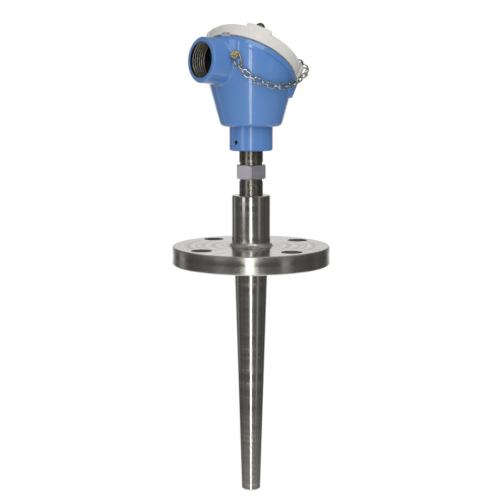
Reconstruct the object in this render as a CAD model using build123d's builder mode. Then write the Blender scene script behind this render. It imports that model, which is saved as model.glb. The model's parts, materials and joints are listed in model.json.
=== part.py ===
from build123d import *
import os
from math import cos, radians, sin, tan

# Flanged resistance thermometer with a cast connection head.
# Millimetres. The probe's axis is Z, the gasket face of the flange is z = 0,
# and the cable entry points towards -X.

# Flange
flange_d = 140.0
flange_t = 16.0
gasket_face_h = 2.0
bolt_inset = 15.0
bolt_hole_d = 18.0
bolt_count = 4
bolt_face_gap = 4.0
flange_edge = 0.8

# Thermowell bar
hub_d = 34.0
hub_h = 45.2
shank_d = 30.0
root_d = 29.6
tip_d = 16.8
insertion = 207.7
tip_wall = 6.2
tip_round = 1.2
hub_edge = 0.8
socket_h = 16.0
weld_leg = 3.2
weld_hollow = 0.4
root_weld = 2.0
seam = 0.03
same_size = 0.001

# Hex nipple between well and head
thread_d = 20.955
relief_d = 19.8
relief_h = 2.4
hex_af = 25.0
hex_h = 12.2
hex_turn = 53.0
thread_below = 14.6
thread_above = 12.6
engaged_below = 15.0
engaged_above = 12.0
nipple_bore_d = 9.0
nipple_edge = 1.2
thread_fit = 0.05

# Measuring insert
sheath_d = 6.0
sheath_clearance = 0.3
tip_gap = 0.3
sheath_above = 4.5
ferrule_d = 10.0
ferrule_h = 6.0
plate_d = 42.0
plate_t = 1.5
plate_hole_gap = 0.4
block_d = 37.0
block_h = 12.0
block_bore_d = 9.0
block_notch_d = 9.4
clamp_w = 6.4
clamp_l = 8.5
clamp_h = 5.5
clamp_pitch = 8.4
clamp_row = 9.8
clamp_columns = 3
wire_d = 1.4
wire_fit = 0.1
wire_bend = 1.6
wire_rise = 2.6
wire_grip = 2.5
wire_spread = 1.9
clamp_screw_d = 5.2
clamp_screw_h = 1.9
clamp_shank_d = 2.8
clamp_shank_l = 1.6
block_screw_x = 8.4
block_screw_d = 2.9
block_screw_l = 8.0
block_screw_head_d = 5.0
block_screw_head_h = 1.6
insert_screw_spacing = 33.0
insert_screw_d = 4.0
insert_screw_head_d = 8.0
insert_screw_head_h = 2.6
insert_screw_grip = 3.6
spring_h = 13.5
spring_wire_d = 1.0
spring_gap = 0.35
spring_turns = 3.5
slot_w = 1.0
slot_h = 1.1
dome_rim = 0.3
flat_rim = 0.85

# Head casting
boss_d = 38.3
boss_h = 21.0
boss_bore_d = 13.0
boss_edge = 0.9
socket_run = 1.0
bowl_foot_r = 26.6
bowl_inset = 1.4
bowl_flare = 15.5
bowl_corner = 4.5
bowl_skin = 4.0
floor_t = 5.0
collar_inset = 0.8
collar_h = 4.5
mouth_inset = 8.9
collar_edge = 0.8

# Cable entry
entry_axis_z = 177.6
entry_rise = 3.0
entry_reach = 54.5
entry_mouth_d = 38.6
entry_flare = 3.0
entry_thread_d = 30.3
entry_thread_h = 18.0
entry_relief_d = 33.2
entry_root = 24.0
entry_edge = 1.0
entry_blend = 2.5

# Lid, leaning away from the entry
lid_tilt = 34.0
lid_turn = 13.0
lid_centre_z = 178.3
lid_shift = -1.0
lid_r = 42.4
lid_h = 10.8
lid_crown = 3.0
lid_skin = 3.5
lid_edge = 1.5
lip_h = 2.5
lip_t = 2.5
lip_clearance = 0.3
gasket_t = 1.2
gasket_w = 1.8
pad_h = 14.2
pad_l = 22.0
pad_w = 12.0
pad_edge = 0.8
notch_w = 9.0
notch_h = 1.9
notch_depth = 2.6

# Cover screws
screw_inset = 2.9
flush_inset = 4.4
screw_angles = {"front": -142.0, "right": -52.0, "rear": 38.0, "left": 128.0}
eared_screws = ("right", "left")
low_screws = ("right",)
ring_screw = "right"
screw_d = 4.0
screw_bite = 6.5
screw_hole_gap = 0.3
tap_gap = 0.05
screw_head_d = 8.0
screw_head_h = 4.6
lug_r = 5.5
flush_lug_r = 3.4
short_lug_h = 7.5
long_lug_h = 14.8
tap_floor = 0.8

# Grub screw in the boss
grub_d = 4.0
grub_l = 7.0
grub_sink = 0.8
grub_z = 110.2
grub_azimuth = 187.0
grub_socket_d = 2.2
grub_socket_h = 2.0

# Chain
link_wire_d = 1.3
link_w = 5.6
link_pitch = 6.0
link_play = 0.4
chain_gap = 0.7
chain_lug_gap = 1.6
hook_wire_d = 1.5
hook_l = 15.0
hook_w = 7.4
hook_gap = 0.9
hook_play = 0.6
hook_end_azimuth = -140.7
hook_end_drop = 5.4
chain_screw_d = 4.0
chain_screw_azimuth = -146.7
chain_screw_rise = 6.2
chain_screw_bite = 3.0
chain_screw_head_d = 6.6
chain_screw_head_h = 2.4
ring_l = 12.6
ring_w = 7.0
ring_turn = -16.0
chain_bowl_route = ((-135.5, 0.21), (-127, 0.322), (-116, 0.405), (-105, 0.461), (-93, 0.485), (-79.5, 0.478))
chain_lug_route = ((-110.0, -0.28), (-86.0, 0.3))
chain_end_slope = 0.3

# Sizes that follow from those above
bolt_circle_d = flange_d - 2 * bolt_inset
gasket_face_d = bolt_circle_d - bolt_hole_d - 2 * bolt_face_gap
bowl_wall_r = lid_r - bowl_inset
collar_r = lid_r - collar_inset
mouth_r = lid_r - mouth_inset
flange_top = gasket_face_h + flange_t
hub_top = flange_top + hub_h
hex_bottom = hub_top + thread_below
hex_top = hex_bottom + hex_h
boss_bottom = hex_top + thread_above
bowl_bottom = boss_bottom + boss_h
floor_z = bowl_bottom + floor_t
wall_z = bowl_bottom + (bowl_wall_r - bowl_foot_r) / tan(radians(bowl_flare))
plate_top = floor_z + plate_t
block_top = plate_top + block_h
clamp_top = block_top + clamp_h
well_bore_d = sheath_d + 2 * sheath_clearance
bore_floor = tip_wall - insertion
socket_floor = hub_top - socket_h
insert_screw_xs = (-insert_screw_spacing / 2, insert_screw_spacing / 2)
ring_wire_d = link_wire_d
cone_skin = bowl_skin / cos(radians(bowl_flare))


def bowl_radius(z):
    return min(bowl_wall_r, bowl_foot_r + (z - bowl_bottom) * tan(radians(bowl_flare)))


def polar(radius, azimuth, z=0.0):
    return Vector(radius * cos(radians(azimuth)), radius * sin(radians(azimuth)), z)


def circles(piece, radius):
    return piece.edges().filter_by(GeomType.CIRCLE).filter_by(lambda e: abs(e.radius - radius) < same_size)


def screw_spot(name):
    return polar(lid_r - (screw_inset if name in eared_screws else flush_inset), screw_angles[name])


def wire_loop(length, width, wire_d):
    bend_r = (width - wire_d) / 2
    half = (length - width) / 2
    with BuildPart() as loop:
        with BuildLine() as path:
            Line((-half, -bend_r), (half, -bend_r))
            ThreePointArc((half, -bend_r), (half + bend_r, 0), (half, bend_r))
            Line((half, bend_r), (-half, bend_r))
            ThreePointArc((-half, bend_r), (-half - bend_r, 0), (-half, -bend_r))
        with BuildSketch(Plane(origin=(-half, -bend_r, 0), z_dir=(1, 0, 0))):
            Circle(wire_d / 2)
        sweep(path=path.line)
    return loop.part


def slotted_screw(shank_d, shank_l, head_d, head_h, domed=True):
    with BuildPart() as screw:
        with BuildSketch(Plane.XZ):
            with BuildLine():
                shoulder = head_h * (dome_rim if domed else flat_rim)
                Polyline(
                    (0, head_h),
                    (0, -shank_l),
                    (shank_d / 2, -shank_l),
                    (shank_d / 2, 0),
                    (head_d / 2, 0),
                    (head_d / 2, shoulder),
                )
                if domed:
                    TangentArc((0, head_h), (head_d / 2, shoulder), tangent=(1, 0))
                else:
                    Polyline((head_d / 2, shoulder), (head_d / 2 - head_h + shoulder, head_h), (0, head_h))
            make_face()
        revolve(axis=Axis.Z)
        with BuildSketch(Plane.XY.offset(head_h)):
            Rectangle(head_d + slot_w, slot_w)
        extrude(amount=-slot_h, mode=Mode.SUBTRACT)
    return screw.part


# The lid's seat: origin on the lid's axis, z along it, x down the slope
lean = Vector(cos(radians(lid_turn)), sin(radians(lid_turn)), 0)
lid_axis = lean * sin(radians(lid_tilt)) + Vector(0, 0, cos(radians(lid_tilt)))
lid_slope = lean * cos(radians(lid_tilt)) - Vector(0, 0, sin(radians(lid_tilt)))
lid_plane = Plane(origin=lean * lid_shift + Vector(0, 0, lid_centre_z), x_dir=lid_slope, z_dir=lid_axis)
lid_profile = Plane(origin=lid_plane.origin, x_dir=lid_slope, z_dir=-lid_plane.y_dir)
collar_top = lid_plane.offset(-gasket_t)
collar_bottom = lid_plane.offset(-gasket_t - collar_h)
entry_dir = Vector(-cos(radians(entry_rise)), 0, sin(radians(entry_rise)))
entry_plane = Plane(origin=(0, 0, entry_axis_z), x_dir=(0, 1, 0), z_dir=entry_dir)
entry_profile = Plane(origin=entry_plane.origin, x_dir=entry_dir, z_dir=(0, 1, 0))
entry_length = entry_reach / cos(radians(entry_rise))
grub_plane = Plane(origin=(0, 0, grub_z), z_dir=polar(1, grub_azimuth))


def bowl_point(azimuth, drop, gap):
    z = lid_centre_z - drop
    return polar(bowl_radius(z) + gap, azimuth, z)


# Chain route: down from the body's screw, round the bowl, up past the right lug to the ring
chain_screw_dir = polar(1, chain_screw_azimuth)
chain_screw_plane = Plane(origin=bowl_point(chain_screw_azimuth, -chain_screw_rise, 0), z_dir=chain_screw_dir)
chain_standoff = link_w / 2 + chain_gap
hook_seat = bowl_point(chain_screw_azimuth, -chain_screw_rise, hook_gap + hook_wire_d / 2)
hook_dir = (bowl_point(hook_end_azimuth, hook_end_drop, chain_standoff + chain_gap) - hook_seat).normalized()
hook_reach = hook_l / 2 - hook_wire_d - chain_screw_d / 2 - tap_gap
hook_side = hook_dir.cross(chain_screw_dir)
hook_plane = Plane(origin=hook_seat + hook_dir * hook_reach, x_dir=hook_dir, z_dir=hook_side.cross(hook_dir))
hook_foot = hook_seat + hook_dir * (hook_reach + hook_l / 2 - hook_wire_d - hook_play)
ring_angle = screw_angles[ring_screw]
ring_spot = screw_spot(ring_screw)
ring_reach = ring_l / 2 - ring_w / 2
ring_centre = ring_spot + polar(ring_reach, ring_angle + ring_turn, pad_h + ring_wire_d / 2)
ring_plane = Plane(
    origin=lid_plane.from_local_coords(ring_centre),
    x_dir=lid_plane.from_local_coords(polar(1, ring_angle + ring_turn)) - lid_plane.origin,
    z_dir=lid_axis,
)


def lug_point(angle, height):
    return lid_plane.from_local_coords(ring_spot + polar(lug_r + link_w / 2 + chain_lug_gap, angle, height))


chain_end = lug_point(ring_angle + ring_turn, pad_h - link_play - link_wire_d / 2)
chain_points = [hook_foot - hook_dir * link_wire_d / 2]
for azimuth, drop in chain_bowl_route:
    chain_points.append(bowl_point(azimuth, drop * bowl_wall_r, chain_standoff))
for angle, height in chain_lug_route:
    chain_points.append(lug_point(angle, height * pad_h))
chain_points.append(chain_end)
chain_path = Spline(*chain_points, tangents=(hook_dir, lid_axis + lid_slope * chain_end_slope))
link_run = chain_path.length - link_wire_d - link_play
link_count = round(link_run / link_pitch)
link_step = link_run / link_count
link_l = link_step + 2 * link_wire_d + link_play
link_planes = []
for n in range(link_count):
    middle = ((n + 0.5) * link_step + (link_wire_d + link_play) / 2) / chain_path.length
    centre = chain_path.position_at(middle)
    along = chain_path.tangent_at(middle)
    outward = Vector(centre.X, centre.Y, 0)
    side = along.cross(outward)
    flat = side.cross(along)
    link_planes.append(Plane(origin=centre, x_dir=along, z_dir=side if n % 2 == 0 else flat))


# Thermowell: one bar, hub above the flange, tapered stem below it
with BuildPart() as thermowell:
    with BuildSketch(Plane.XZ):
        with BuildLine():
            Polyline(
                (0, -insertion),
                (tip_d / 2, -insertion),
                (root_d / 2, 0),
                (shank_d / 2, 0),
                (shank_d / 2, flange_top),
                (hub_d / 2, flange_top),
                (hub_d / 2, hub_top),
                (0, hub_top),
                close=True,
            )
        make_face()
    revolve(axis=Axis.Z)
    fillet(thermowell.edges().sort_by(Axis.Z)[0], tip_round)
    chamfer(thermowell.edges().group_by(Axis.Z)[-1], hub_edge)
    with Locations((0, 0, hub_top)):
        Hole(thread_d / 2 + thread_fit, depth=socket_h)
    with Locations((0, 0, socket_floor)):
        Hole(well_bore_d / 2, depth=socket_floor - bore_floor)

# Flange with its raised gasket face
with BuildPart() as flange:
    with BuildSketch():
        Circle(gasket_face_d / 2)
    extrude(amount=gasket_face_h)
    with BuildSketch(Plane.XY.offset(gasket_face_h)):
        Circle(flange_d / 2)
    extrude(amount=flange_t)
    chamfer(circles(flange, flange_d / 2), flange_edge)
    with Locations((0, 0, flange_top)):
        Hole(shank_d / 2 + seam)
        with PolarLocations(bolt_circle_d / 2, bolt_count):
            Hole(bolt_hole_d / 2)
    bore_rim = flange.edges().group_by(Axis.Z)[0].sort_by(SortBy.RADIUS)[0]
    chamfer(bore_rim, root_weld)

# Weld fillet at the hub's foot and weld bead in the gasket face
with BuildPart() as upper_weld:
    with BuildSketch(Plane.XZ):
        with BuildLine():
            weld_foot = (hub_d / 2 + weld_leg, flange_top)
            weld_head = (hub_d / 2, flange_top + weld_leg)
            Polyline(weld_head, (hub_d / 2, flange_top), weld_foot)
            SagittaArc(weld_foot, weld_head, weld_hollow)
        make_face()
    revolve(axis=Axis.Z)

with BuildPart() as lower_weld:
    with BuildSketch(Plane.XZ):
        with BuildLine():
            Polyline((shank_d / 2, 0), (shank_d / 2 + root_weld, 0), (shank_d / 2, root_weld), close=True)
        make_face()
    revolve(axis=Axis.Z)

# Hex nipple: thread, relief, hexagon, relief, thread
with BuildPart() as hexagon:
    with BuildSketch(Plane.XY.offset(hex_bottom)):
        RegularPolygon(hex_af / 2, 6, major_radius=False, rotation=hex_turn)
    extrude(amount=hex_h)
    with BuildSketch(Plane.XZ):
        with BuildLine():
            corner_r = hex_af / 2 / cos(radians(30))
            drop = (corner_r - hex_af / 2) * tan(radians(30))
            Polyline(
                (0, hex_bottom),
                (hex_af / 2, hex_bottom),
                (corner_r, hex_bottom + drop),
                (corner_r, hex_top - drop),
                (hex_af / 2, hex_top),
                (0, hex_top),
                close=True,
            )
        make_face()
    revolve(axis=Axis.Z, mode=Mode.INTERSECT)

with BuildPart() as hex_nipple:
    with BuildSketch(Plane.XZ):
        with BuildLine():
            Polyline(
                (0, hub_top - engaged_below),
                (thread_d / 2, hub_top - engaged_below),
                (thread_d / 2, hex_bottom - relief_h),
                (relief_d / 2, hex_bottom - relief_h),
                (relief_d / 2, hex_top + relief_h),
                (thread_d / 2, hex_top + relief_h),
                (thread_d / 2, boss_bottom + engaged_above),
                (0, boss_bottom + engaged_above),
                close=True,
            )
        make_face()
    revolve(axis=Axis.Z)
    chamfer(hex_nipple.edges().group_by(Axis.Z)[0], nipple_edge)
    chamfer(hex_nipple.edges().group_by(Axis.Z)[-1], nipple_edge)
    add(hexagon.part)
    with Locations((0, 0, boss_bottom + engaged_above)):
        Hole(nipple_bore_d / 2)

# Wiring chamber, up to the underside of the collar
with BuildPart() as chamber:
    with BuildSketch(Plane.XZ):
        with BuildLine():
            Polyline(
                (0, floor_z),
                (bowl_radius(floor_z) - cone_skin, floor_z),
                (bowl_wall_r - bowl_skin, wall_z),
                (bowl_wall_r - bowl_skin, lid_centre_z + bowl_wall_r),
                (0, lid_centre_z + bowl_wall_r),
                close=True,
            )
        make_face()
    revolve(axis=Axis.Z)
    split(bisect_by=collar_bottom, keep=Keep.BOTTOM)

# Head casting: boss, flared bowl, cable entry, collar and screw bosses
with BuildPart() as head_body:
    with BuildSketch(Plane.XZ):
        with BuildLine():
            Polyline(
                (0, boss_bottom),
                (boss_d / 2, boss_bottom),
                (boss_d / 2, bowl_bottom),
                (bowl_foot_r, bowl_bottom),
                (bowl_wall_r, wall_z),
                (bowl_wall_r, lid_centre_z + bowl_wall_r),
                (0, lid_centre_z + bowl_wall_r),
                close=True,
            )
        make_face()
    revolve(axis=Axis.Z)
    with BuildSketch(entry_profile):
        with BuildLine():
            Polyline(
                (entry_root, 0),
                (entry_root, entry_mouth_d / 2 + (entry_length - entry_root) * tan(radians(entry_flare))),
                (entry_length - entry_edge, entry_mouth_d / 2),
                (entry_length, entry_mouth_d / 2 - entry_edge),
                (entry_length, 0),
                close=True,
            )
        make_face()
    revolve(axis=Axis(entry_plane.origin, entry_dir))
    fillet(head_body.edges().filter_by(GeomType.BSPLINE), entry_blend)
    fillet(circles(head_body, bowl_foot_r), bowl_corner)
    chamfer(head_body.edges().sort_by(Axis.Z)[0], boss_edge)
    split(bisect_by=collar_bottom, keep=Keep.BOTTOM)
    with BuildSketch(collar_top):
        Circle(collar_r)
    extrude(amount=-collar_h)
    add(chamber.part, mode=Mode.SUBTRACT)
    with BuildSketch(collar_top):
        Circle(mouth_r)
    extrude(amount=-collar_h, mode=Mode.SUBTRACT)
    for name in screw_angles:
        with BuildSketch(collar_top):
            with Locations(screw_spot(name)):
                Circle(lug_r if name in eared_screws else flush_lug_r)
        extrude(amount=-(long_lug_h if name in low_screws else short_lug_h))
        with BuildSketch(collar_top):
            with Locations(screw_spot(name)):
                Circle(screw_d / 2 + tap_gap)
        extrude(amount=-(screw_bite - gasket_t + tap_floor), mode=Mode.SUBTRACT)
    with BuildSketch(entry_plane.offset(entry_length)):
        Circle(entry_thread_d / 2)
    extrude(amount=-entry_thread_h, mode=Mode.SUBTRACT)
    with BuildSketch(entry_plane.offset(entry_length - entry_thread_h)):
        Circle(entry_relief_d / 2)
    extrude(amount=entry_root - entry_length + entry_thread_h, mode=Mode.SUBTRACT)
    with BuildSketch(Plane.XY.offset(boss_bottom)):
        Circle(thread_d / 2 + thread_fit)
    extrude(amount=engaged_above + socket_run, mode=Mode.SUBTRACT)
    with BuildSketch(Plane.XY.offset(boss_bottom)):
        Circle(boss_bore_d / 2)
    extrude(amount=floor_z - boss_bottom, mode=Mode.SUBTRACT)
    with BuildSketch(Plane.XY.offset(floor_z)):
        with Locations(*[(x, 0) for x in insert_screw_xs]):
            Circle(insert_screw_d / 2 + tap_gap)
    extrude(amount=-insert_screw_grip - tap_gap, mode=Mode.SUBTRACT)
    with BuildSketch(grub_plane):
        Circle(grub_d / 2 + tap_gap)
    extrude(amount=boss_d / 2, mode=Mode.SUBTRACT)
    with BuildSketch(chain_screw_plane.offset(-chain_screw_bite - tap_gap)):
        Circle(chain_screw_d / 2 + tap_gap)
    extrude(amount=bowl_skin, mode=Mode.SUBTRACT)

with BuildPart() as lid_gasket:
    with BuildSketch(collar_top):
        Circle(mouth_r + lip_clearance + gasket_w)
        Circle(mouth_r + lip_clearance, mode=Mode.SUBTRACT)
    extrude(amount=gasket_t)

# Lid: crowned disc with a lip, raised screw pads, two of them on ears, and a pry notch
with BuildPart() as lid:
    with BuildSketch(lid_profile):
        with BuildLine():
            lip_r = mouth_r - lip_clearance
            crown_top = (0, lid_h + lid_crown)
            ceiling = (0, lid_h + lid_crown - lid_skin)
            ceiling_end = (lip_r - lip_t, lid_h - lid_skin)
            Line(ceiling, crown_top)
            TangentArc(crown_top, (lid_r, lid_h), tangent=(1, 0))
            Polyline((lid_r, lid_h), (lid_r, 0), (lip_r, 0), (lip_r, -lip_h), (lip_r - lip_t, -lip_h), ceiling_end)
            TangentArc(ceiling, ceiling_end, tangent=(1, 0))
        make_face()
    revolve(axis=Axis(lid_plane.origin, lid_axis))
    fillet(circles(lid, lid_r).sort_by(Axis(lid_plane.origin, lid_axis))[-1], lid_edge)
    for name, angle in screw_angles.items():
        if name in eared_screws:
            with BuildSketch(lid_plane):
                with Locations(screw_spot(name)):
                    Circle(lug_r)
            extrude(amount=pad_h)
        with BuildSketch(lid_plane.offset(lid_h - lid_skin)):
            with Locations(Location(screw_spot(name), (0, 0, angle))):
                Rectangle(pad_w, pad_l)
            Circle(lid_r, mode=Mode.INTERSECT)
        extrude(amount=pad_h - lid_h + lid_skin)
    pads = lid.faces().filter_by(lambda f: abs(lid_plane.to_local_coords(f.center()).Z - pad_h) < same_size)
    chamfer(pads.edges(), pad_edge)
    with BuildSketch(lid_plane):
        for name in screw_angles:
            with Locations(screw_spot(name)):
                Circle(screw_d / 2 + screw_hole_gap)
    extrude(amount=pad_h, mode=Mode.SUBTRACT)
    with BuildSketch(lid_plane):
        with Locations((-lid_r, 0)):
            Rectangle(2 * notch_depth, notch_w)
    extrude(amount=notch_h, mode=Mode.SUBTRACT)

# Captive cover screws, the right one over the chain's ring
cover_screws = {}
for name in screw_angles:
    seat = pad_h + (ring_wire_d if name == ring_screw else 0)
    head_seat = lid_plane.from_local_coords(screw_spot(name) + Vector(0, 0, seat))
    with BuildPart() as cover_screw:
        with Locations(Plane(origin=head_seat, x_dir=lid_slope, z_dir=lid_axis)):
            add(slotted_screw(screw_d, seat + screw_bite, screw_head_d, screw_head_h))
    cover_screws["cover_screw_" + name] = cover_screw

with BuildPart() as boss_grub_screw:
    with BuildSketch(grub_plane.offset(boss_d / 2 - grub_sink)):
        Circle(grub_d / 2)
    extrude(amount=-grub_l)
    with BuildSketch(grub_plane.offset(boss_d / 2 - grub_sink)):
        RegularPolygon(grub_socket_d / 2, 6)
    extrude(amount=-grub_socket_h, mode=Mode.SUBTRACT)

# Chain: hook on the body's screw, links, and a ring under the right cover screw
with BuildPart() as chain_body_screw:
    with Locations(chain_screw_plane.offset(hook_wire_d + 2 * hook_gap)):
        add(slotted_screw(
            chain_screw_d,
            chain_screw_bite + hook_wire_d + 2 * hook_gap,
            chain_screw_head_d,
            chain_screw_head_h,
            domed=False,
        ))

with BuildPart() as chain_hook:
    with Locations(hook_plane):
        add(wire_loop(hook_l, hook_w, hook_wire_d))

with BuildPart() as chain_links:
    with Locations(link_planes):
        add(wire_loop(link_l, link_w, link_wire_d))

with BuildPart() as chain_lid_ring:
    with Locations(ring_plane):
        add(wire_loop(ring_l, ring_w, ring_wire_d))

# Measuring insert, pressed down the well by two springs
with BuildPart() as insert_sheath:
    with BuildSketch(Plane.XY.offset(bore_floor + tip_gap)):
        Circle(sheath_d / 2)
    extrude(amount=plate_top + sheath_above - bore_floor - tip_gap)
    chamfer(insert_sheath.edges().group_by(Axis.Z)[0], tip_gap)
    with BuildSketch(Plane.XY.offset(floor_z - ferrule_h)):
        Circle(ferrule_d / 2)
    extrude(amount=ferrule_h)

with BuildPart() as insert_plate:
    with BuildSketch(Plane.XY.offset(floor_z)):
        Circle(plate_d / 2)
        Circle(sheath_d / 2, mode=Mode.SUBTRACT)
        with Locations(*[(x, 0) for x in insert_screw_xs]):
            Circle(insert_screw_d / 2 + plate_hole_gap, mode=Mode.SUBTRACT)
    extrude(amount=plate_t)

with BuildPart() as terminal_block:
    with BuildSketch(Plane.XY.offset(plate_top)):
        Circle(block_d / 2)
        Circle(block_bore_d / 2, mode=Mode.SUBTRACT)
        with Locations(*[(x, 0) for x in insert_screw_xs]):
            Circle(block_notch_d / 2, mode=Mode.SUBTRACT)
        with Locations((-block_screw_x, 0), (block_screw_x, 0)):
            Circle(block_screw_d / 2, mode=Mode.SUBTRACT)
    extrude(amount=block_h)

clamp_spots = []
for column in range(clamp_columns):
    for side in (-1, 1):
        clamp_spots.append(((column - (clamp_columns - 1) / 2) * clamp_pitch, side * clamp_row))

with BuildPart() as terminal_clamps:
    with BuildSketch(Plane.XY.offset(block_top)):
        with Locations(*clamp_spots):
            Rectangle(clamp_w, clamp_l)
    extrude(amount=clamp_h)
    with BuildSketch(Plane.XZ):
        with Locations(*[(x, block_top + wire_rise) for x, y in clamp_spots]):
            Circle(wire_d / 2 + wire_fit)
    extrude(amount=clamp_row - clamp_l / 2 + wire_grip, both=True, mode=Mode.SUBTRACT)
    with BuildSketch(Plane.XY.offset(clamp_top)):
        with Locations(*clamp_spots):
            Circle(clamp_shank_d / 2)
    extrude(amount=-clamp_shank_l, mode=Mode.SUBTRACT)

with BuildPart() as terminal_screws:
    with Locations(*[(x, y, clamp_top) for x, y in clamp_spots]):
        add(slotted_screw(clamp_shank_d, clamp_shank_l, clamp_screw_d, clamp_screw_h, domed=False))

with BuildPart() as block_screws:
    with Locations((-block_screw_x, 0, block_top), (block_screw_x, 0, block_top)):
        add(slotted_screw(block_screw_d, block_screw_l, block_screw_head_d, block_screw_head_h, domed=False))

with BuildPart() as insert_screws:
    with Locations(*[(x, 0, plate_top + spring_h) for x in insert_screw_xs]):
        add(slotted_screw(
            insert_screw_d,
            spring_h + plate_t + insert_screw_grip,
            insert_screw_head_d,
            insert_screw_head_h,
            domed=False,
        ))


def insert_spring(x):
    mean_r = insert_screw_d / 2 + spring_gap + spring_wire_d / 2
    rise = spring_h - 2 * spring_gap - spring_wire_d
    start = (x + mean_r, 0, plate_top + spring_gap + spring_wire_d / 2)
    with BuildPart() as spring:
        with BuildLine() as coil:
            Helix(rise / spring_turns, rise, mean_r, center=(x, 0, start[2]))
        with BuildSketch(Plane(origin=start, z_dir=coil.line % 0)):
            RegularPolygon(spring_wire_d / 2, 6)
        sweep(path=coil.line, is_frenet=True)
    return spring


insert_spring_left = insert_spring(insert_screw_xs[0])
insert_spring_right = insert_spring(insert_screw_xs[1])


def lead_wires(side):
    bottom = plate_top + sheath_above
    level = block_top + wire_rise
    with BuildPart() as wires:
        for x_side in (-1, 1):
            column = x_side * clamp_pitch * (clamp_columns - 1) / 2
            foot = (x_side * wire_spread, side * wire_spread)
            with BuildLine() as route:
                FilletPolyline(
                    (*foot, bottom),
                    (*foot, level),
                    (column, foot[1] + side * wire_d, level),
                    (column, side * (clamp_row - clamp_l / 2 + wire_grip), level),
                    radius=wire_bend,
                )
            with BuildSketch(Plane(origin=(*foot, bottom), z_dir=(0, 0, 1))):
                Circle(wire_d / 2)
            sweep(path=route.line)
    return wires


red_lead_wires = lead_wires(-1)
white_lead_wires = lead_wires(1)

pieces = {
    "thermowell": thermowell,
    "flange": flange,
    "upper_weld": upper_weld,
    "lower_weld": lower_weld,
    "hex_nipple": hex_nipple,
    "head_body": head_body,
    "lid_gasket": lid_gasket,
    "lid": lid,
    "boss_grub_screw": boss_grub_screw,
    "chain_body_screw": chain_body_screw,
    "chain_hook": chain_hook,
    "chain_links": chain_links,
    "chain_lid_ring": chain_lid_ring,
    "insert_sheath": insert_sheath,
    "insert_plate": insert_plate,
    "terminal_block": terminal_block,
    "terminal_clamps": terminal_clamps,
    "terminal_screws": terminal_screws,
    "block_screws": block_screws,
    "insert_screws": insert_screws,
    "insert_spring_left": insert_spring_left,
    "insert_spring_right": insert_spring_right,
    "red_lead_wires": red_lead_wires,
    "white_lead_wires": white_lead_wires,
}
pieces.update(cover_screws)

os.makedirs("parts", exist_ok=True)
for name, piece in pieces.items():
    piece.part.label = name
    export_step(piece.part, f"parts/{name}.step")
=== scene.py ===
import json
import math

import bmesh
import bpy
from mathutils import Matrix, Vector


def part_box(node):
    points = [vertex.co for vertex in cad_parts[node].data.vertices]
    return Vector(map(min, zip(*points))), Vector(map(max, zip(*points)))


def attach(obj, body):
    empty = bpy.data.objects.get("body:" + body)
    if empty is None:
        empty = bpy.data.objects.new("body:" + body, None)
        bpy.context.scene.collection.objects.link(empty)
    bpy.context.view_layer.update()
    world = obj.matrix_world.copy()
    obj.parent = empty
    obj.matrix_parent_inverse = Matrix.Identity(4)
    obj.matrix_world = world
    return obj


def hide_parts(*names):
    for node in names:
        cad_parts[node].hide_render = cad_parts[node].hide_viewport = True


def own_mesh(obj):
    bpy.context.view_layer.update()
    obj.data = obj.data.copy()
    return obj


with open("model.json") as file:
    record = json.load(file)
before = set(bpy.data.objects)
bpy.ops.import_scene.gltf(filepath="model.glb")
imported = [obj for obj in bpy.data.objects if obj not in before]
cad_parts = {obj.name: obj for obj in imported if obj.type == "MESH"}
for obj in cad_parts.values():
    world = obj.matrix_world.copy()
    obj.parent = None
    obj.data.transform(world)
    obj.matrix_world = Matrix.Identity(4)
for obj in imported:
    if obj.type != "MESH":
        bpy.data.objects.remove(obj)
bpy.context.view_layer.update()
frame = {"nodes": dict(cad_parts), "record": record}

bl_info = {
    "name": "Flanged thermometer with connection head",
    "version": (1, 0, 0),
    "blender": (4, 5, 0),
    "location": "View3D > Sidebar > Probe",
    "description": "Finishes, entry thread, weld ripples and studio for a flanged resistance thermometer",
    "category": "Object",
}


# Measures from the frame, in metres

def named(rows, name):
    """The row of that name in a list of the record."""
    return next(row for row in rows if row["name"] == name)


ENTRY_MOUNT = named(frame["record"]["mounts"], "cable_entry")
ENTRY_MOUTH = Vector(ENTRY_MOUNT["pos_m"])
ENTRY_AXIS = Vector(ENTRY_MOUNT["axis"]).normalized()
ENTRY_RADIUS = ENTRY_MOUNT["dims"]["r_mm"] / 1000
ENTRY_DEPTH = ENTRY_MOUNT["dims"]["length_mm"] / 1000
BOLTS = named(frame["record"]["mounts"], "flange_bolts")["dims"]
BOLT_CIRCLE = BOLTS["pcd_mm"] / 1000
BOLT_RADIUS = BOLTS["hole_r_mm"] / 1000
WELD_LOW, WELD_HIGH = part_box("upper_weld")
TIP_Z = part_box("thermowell")[0].z

# Where the finishes change, in metres
HOLE_MARGIN = 0.0002             # past a bolt hole's wall, so that the wall is inside its mask
HEXAGON_RADII = 0.0118, 0.0123   # the nipple is thread inside the first and hexagon outside the second
DARKER_TOP_FROM = 0.045           # above the nipple's foot
DARKER_TOP_TO = 0.012             # below the nipple's top
BORE_BEHIND = 0.0125             # how far the bare bore goes on behind the threaded depth
BORE_START = -0.0005             # where its mask starts, along the axis from there
BORE_STEP = 0.0120, 0.0130       # where its mask narrows
BORE_WIDE, BORE_NARROW = 0.0018, 0.0003   # its mask past the thread's radius, before and after that

# Colours as linear red, green and blue, where the user has no setting for them
HANDLED_STEEL = 0.36, 0.33, 0.27
# the nipple's colour at its top, darker towards the head
DARKER_TOP_STEEL = 0.14, 0.12, 0.095
HEXAGON_STEEL = 0.63, 0.615, 0.665
BARE_BORE = (0.16, 0.15, 0.13), (0.32, 0.30, 0.26)
LID_STAIN = 0.46, 0.43, 0.38
FLOOR = (0.86, 0.86, 0.86), (0.9, 0.9, 0.9)

# Most values of a noise lie between these
NOISE_RANGE = 0.3, 0.7

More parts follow.
